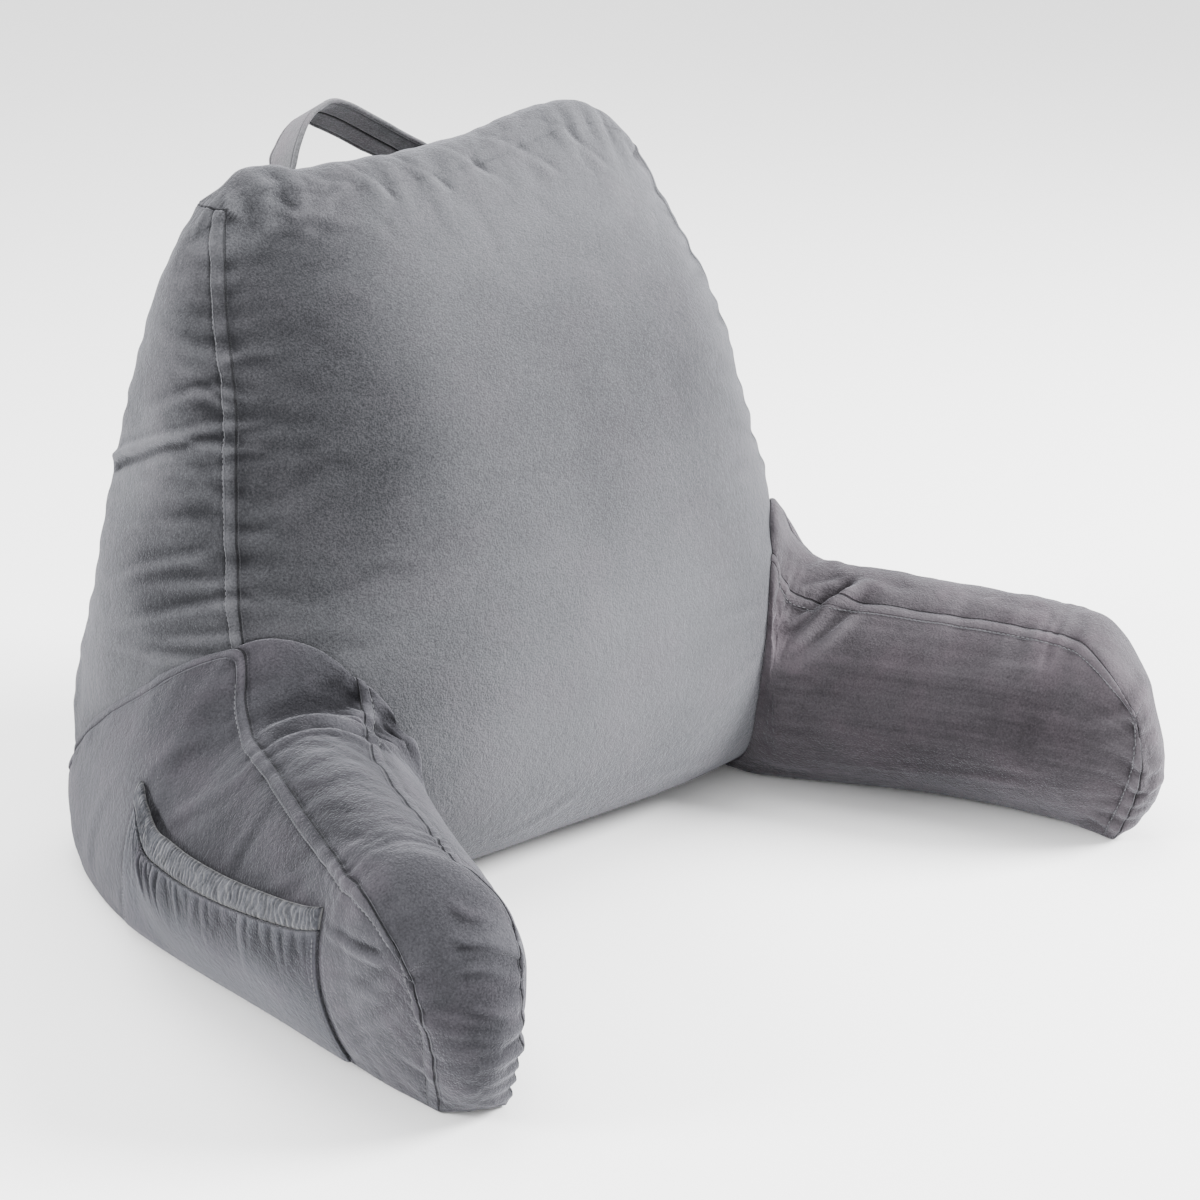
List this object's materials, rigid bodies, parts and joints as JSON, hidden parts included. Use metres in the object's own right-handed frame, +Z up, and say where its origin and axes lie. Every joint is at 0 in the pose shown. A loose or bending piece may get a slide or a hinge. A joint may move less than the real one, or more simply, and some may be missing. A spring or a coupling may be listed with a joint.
{
  "type": "reading pillow",
  "caption": "Stuffed wedge backrest with padded arms, a carrying strap at the top and a side pocket on an arm, for sitting up against.",
  "frame": {"origin": "on the flat base, under the middle of the backrest", "axes": "+Z up; the front, the sitter's side, faces -Y and the arms reach that way; +X to the right of someone facing the front"},
  "size_m": [0.6996, 0.5525, 0.5172],
  "materials": {
    "velour": "short-pile velour, soft sheen",
    "binding": "shirred elastic binding",
    "webbing": "folded and topstitched velour"
  },
  "bodies": {
    "root": {"backrest": "velour", "arm_left": "velour", "arm_right": "velour", "pocket": "velour", "pocket_band": "binding", "handle": "webbing"}
  },
  "joints": []
}
